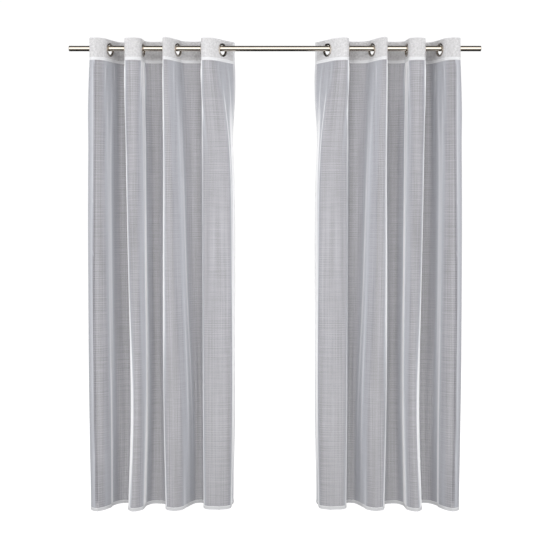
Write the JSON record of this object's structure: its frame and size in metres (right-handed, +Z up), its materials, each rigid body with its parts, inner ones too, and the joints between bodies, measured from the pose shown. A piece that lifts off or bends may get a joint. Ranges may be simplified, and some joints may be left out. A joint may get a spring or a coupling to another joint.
{
  "type": "window curtains on a rod",
  "caption": "Pair of long sheer eyelet curtains drawn open on a straight metal rod, hanging in deep even folds from a stiffened header.",
  "frame": {"origin": "on the rod's axis, half-way along the rod", "axes": "+X along the rod to the right seen from the room, +Y from the room to the wall, +Z up"},
  "size_m": [1.88, 0.1625, 2.134],
  "materials": {
    "rod": "satin champagne nickel",
    "rod_plug": "satin champagne nickel",
    "eyelet": "dark satin nickel",
    "sheer": "plain-weave voile, see-through",
    "header": "doubled voile over a stiffener",
    "header_buckram": "stiff open-weave buckram",
    "hem": "turned and stitched voile"
  },
  "bodies": {
    "rod": {"rod_tube": "rod", "rod_end_plug_left": "rod_plug", "rod_end_plug_right": "rod_plug"},
    "left_panel": {"left_sheer_panel": "sheer", "left_header_stiffener": "header_buckram", "left_header_facing": "header", "left_side_hem_outer": "hem", "left_side_hem_leading": "hem", "left_bottom_hem": "hem", "left_eyelet_1_front": "eyelet", "left_eyelet_1_back": "eyelet"},
    "left_eyelet_8": {"left_eyelet_8_front": "eyelet", "left_eyelet_8_back": "eyelet"},
    "left_eyelet_2": {"left_eyelet_2_front": "eyelet", "left_eyelet_2_back": "eyelet"},
    "left_eyelet_3": {"left_eyelet_3_front": "eyelet", "left_eyelet_3_back": "eyelet"},
    "left_eyelet_4": {"left_eyelet_4_front": "eyelet", "left_eyelet_4_back": "eyelet"},
    "left_eyelet_5": {"left_eyelet_5_front": "eyelet", "left_eyelet_5_back": "eyelet"},
    "left_eyelet_6": {"left_eyelet_6_front": "eyelet", "left_eyelet_6_back": "eyelet"},
    "left_eyelet_7": {"left_eyelet_7_front": "eyelet", "left_eyelet_7_back": "eyelet"},
    "right_panel": {"right_sheer_panel": "sheer", "right_header_stiffener": "header_buckram", "right_header_facing": "header", "right_side_hem_outer": "hem", "right_side_hem_leading": "hem", "right_bottom_hem": "hem", "right_eyelet_1_front": "eyelet", "right_eyelet_1_back": "eyelet"},
    "right_eyelet_8": {"right_eyelet_8_front": "eyelet", "right_eyelet_8_back": "eyelet"},
    "right_eyelet_2": {"right_eyelet_2_front": "eyelet", "right_eyelet_2_back": "eyelet"},
    "right_eyelet_3": {"right_eyelet_3_front": "eyelet", "right_eyelet_3_back": "eyelet"},
    "right_eyelet_4": {"right_eyelet_4_front": "eyelet", "right_eyelet_4_back": "eyelet"},
    "right_eyelet_5": {"right_eyelet_5_front": "eyelet", "right_eyelet_5_back": "eyelet"},
    "right_eyelet_6": {"right_eyelet_6_front": "eyelet", "right_eyelet_6_back": "eyelet"},
    "right_eyelet_7": {"right_eyelet_7_front": "eyelet", "right_eyelet_7_back": "eyelet"}
  },
  "joints": [
    {"name": "left_panel_slide", "type": "slide", "parent": "rod", "child": "left_panel", "axis": [1, 0, 0], "range_m": [-0.08, 0.04]},
    {"name": "left_draw", "type": "slide", "parent": "left_panel", "child": "left_eyelet_8", "axis": [1, 0, 0], "range_m": [-0.25, 0.13], "deforming": ["left_sheer_panel", "left_header_stiffener", "left_header_facing", "left_side_hem_outer", "left_side_hem_leading", "left_bottom_hem"]},
    {"name": "left_eyelet_2_slide", "type": "slide", "parent": "left_panel", "child": "left_eyelet_2", "axis": [1, 0, 0], "range_m": [-0.01282, 0.00667]},
    {"name": "left_eyelet_3_slide", "type": "slide", "parent": "left_panel", "child": "left_eyelet_3", "axis": [1, 0, 0], "range_m": [-0.04109, 0.02137]},
    {"name": "left_eyelet_4_slide", "type": "slide", "parent": "left_panel", "child": "left_eyelet_4", "axis": [1, 0, 0], "range_m": [-0.08493, 0.04416]},
    {"name": "left_eyelet_5_slide", "type": "slide", "parent": "left_panel", "child": "left_eyelet_5", "axis": [1, 0, 0], "range_m": [-0.14316, 0.07444]},
    {"name": "left_eyelet_6_slide", "type": "slide", "parent": "left_panel", "child": "left_eyelet_6", "axis": [1, 0, 0], "range_m": [-0.18199, 0.09463]},
    {"name": "left_eyelet_7_slide", "type": "slide", "parent": "left_panel", "child": "left_eyelet_7", "axis": [1, 0, 0], "range_m": [-0.23285, 0.12108]},
    {"name": "right_panel_slide", "type": "slide", "parent": "rod", "child": "right_panel", "axis": [-1, 0, 0], "range_m": [-0.08, 0.04]},
    {"name": "right_draw", "type": "slide", "parent": "right_panel", "child": "right_eyelet_8", "axis": [-1, 0, 0], "range_m": [-0.25, 0.13], "deforming": ["right_sheer_panel", "right_header_stiffener", "right_header_facing", "right_side_hem_outer", "right_side_hem_leading", "right_bottom_hem"]},
    {"name": "right_eyelet_2_slide", "type": "slide", "parent": "right_panel", "child": "right_eyelet_2", "axis": [-1, 0, 0], "range_m": [-0.01282, 0.00667]},
    {"name": "right_eyelet_3_slide", "type": "slide", "parent": "right_panel", "child": "right_eyelet_3", "axis": [-1, 0, 0], "range_m": [-0.04109, 0.02137]},
    {"name": "right_eyelet_4_slide", "type": "slide", "parent": "right_panel", "child": "right_eyelet_4", "axis": [-1, 0, 0], "range_m": [-0.08493, 0.04416]},
    {"name": "right_eyelet_5_slide", "type": "slide", "parent": "right_panel", "child": "right_eyelet_5", "axis": [-1, 0, 0], "range_m": [-0.14316, 0.07444]},
    {"name": "right_eyelet_6_slide", "type": "slide", "parent": "right_panel", "child": "right_eyelet_6", "axis": [-1, 0, 0], "range_m": [-0.18199, 0.09463]},
    {"name": "right_eyelet_7_slide", "type": "slide", "parent": "right_panel", "child": "right_eyelet_7", "axis": [-1, 0, 0], "range_m": [-0.23285, 0.12108]}
  ],
  "couplings": [
    {"joint": "left_eyelet_2_slide", "follows": "left_draw", "ratio": 0.051266},
    {"joint": "left_eyelet_3_slide", "follows": "left_draw", "ratio": 0.16436},
    {"joint": "left_eyelet_4_slide", "follows": "left_draw", "ratio": 0.3397},
    {"joint": "left_eyelet_5_slide", "follows": "left_draw", "ratio": 0.57263},
    {"joint": "left_eyelet_6_slide", "follows": "left_draw", "ratio": 0.72795},
    {"joint": "left_eyelet_7_slide", "follows": "left_draw", "ratio": 0.93139},
    {"joint": "right_eyelet_2_slide", "follows": "right_draw", "ratio": 0.051266},
    {"joint": "right_eyelet_3_slide", "follows": "right_draw", "ratio": 0.16436},
    {"joint": "right_eyelet_4_slide", "follows": "right_draw", "ratio": 0.3397},
    {"joint": "right_eyelet_5_slide", "follows": "right_draw", "ratio": 0.57263},
    {"joint": "right_eyelet_6_slide", "follows": "right_draw", "ratio": 0.72795},
    {"joint": "right_eyelet_7_slide", "follows": "right_draw", "ratio": 0.93139}
  ]
}
